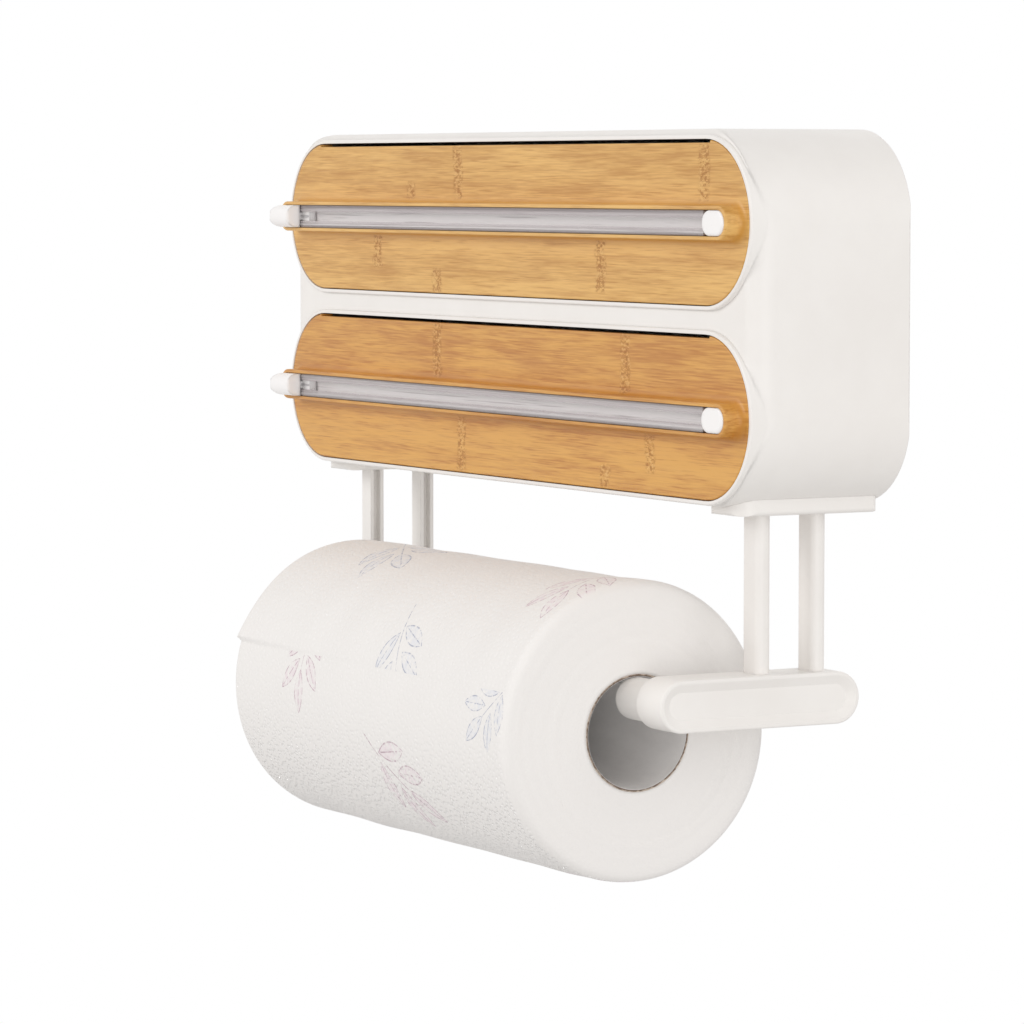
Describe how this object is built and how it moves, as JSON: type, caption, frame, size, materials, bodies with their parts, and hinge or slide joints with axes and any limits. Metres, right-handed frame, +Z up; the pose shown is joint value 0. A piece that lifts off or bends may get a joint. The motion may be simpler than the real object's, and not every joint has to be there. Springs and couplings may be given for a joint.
{
  "type": "wrap and foil dispenser",
  "caption": "Wall-mounted wrap and foil dispenser: white cabinet, bamboo-fronted drawers with slide cutters, and two arms below that carry a paper towel roll.",
  "frame": {"origin": "centre of the four wall-screw holes, on the back panel's face that lies on the wall", "axes": "+X right along the drawers, +Y into the wall, +Z up; the drawer fronts face -Y"},
  "size_m": [0.3448, 0.1278, 0.2571],
  "materials": {
    "white_abs": "warm white moulded ABS, satin",
    "bamboo": "laminated bamboo, clear satin lacquer",
    "clear_track": "clear extruded acrylic, glossy",
    "steel": "plain zinc-bright steel",
    "film": "wound clear cling film",
    "foil": "wound aluminium foil",
    "cardboard": "spiral-wound grey-brown board",
    "towel_paper": "embossed soft tissue"
  },
  "bodies": {
    "cabinet": {"shell": "white_abs", "back_panel": "white_abs", "back_panel_screws": "steel", "left_arm": "white_abs", "right_arm": "white_abs", "arm_screws": "steel"},
    "upper_drawer": {"upper_panel": "bamboo", "upper_panel_screws": "steel", "upper_tray": "white_abs", "upper_track": "clear_track", "upper_end_cap": "white_abs"},
    "upper_cutter": {"upper_slider": "white_abs", "upper_blade": "steel"},
    "film": {"film_roll": "film", "film_core": "cardboard", "film_hub_left": "white_abs", "film_hub_right": "white_abs"},
    "lower_drawer": {"lower_panel": "bamboo", "lower_panel_screws": "steel", "lower_tray": "white_abs", "lower_track": "clear_track", "lower_end_cap": "white_abs"},
    "lower_cutter": {"lower_slider": "white_abs", "lower_blade": "steel"},
    "foil": {"foil_roll": "foil", "foil_core": "cardboard", "foil_hub_left": "white_abs", "foil_hub_right": "white_abs"},
    "towels": {"towel_roll": "towel_paper", "towel_core": "cardboard"}
  },
  "joints": [
    {"name": "upper_drawer_slide", "type": "slide", "parent": "cabinet", "child": "upper_drawer", "axis": [0, -1, 0], "range_m": [0, 0.04]},
    {"name": "upper_cutter_slide", "type": "slide", "parent": "upper_drawer", "child": "upper_cutter", "axis": [1, 0, 0], "range_m": [0, 0.296]},
    {"name": "film_spin", "type": "hinge", "parent": "upper_drawer", "child": "film", "pos_m": [0, -0.0325, 0.0316], "axis": [1, 0, 0], "continuous": true},
    {"name": "lower_drawer_slide", "type": "slide", "parent": "cabinet", "child": "lower_drawer", "axis": [0, -1, 0], "range_m": [0, 0.04]},
    {"name": "lower_cutter_slide", "type": "slide", "parent": "lower_drawer", "child": "lower_cutter", "axis": [1, 0, 0], "range_m": [0, 0.296]},
    {"name": "foil_spin", "type": "hinge", "parent": "lower_drawer", "child": "foil", "pos_m": [0, -0.0325, -0.0358], "axis": [1, 0, 0], "continuous": true},
    {"name": "towel_spin", "type": "hinge", "parent": "cabinet", "child": "towels", "pos_m": [0, -0.0754, -0.1406], "axis": [1, 0, 0], "continuous": true}
  ]
}
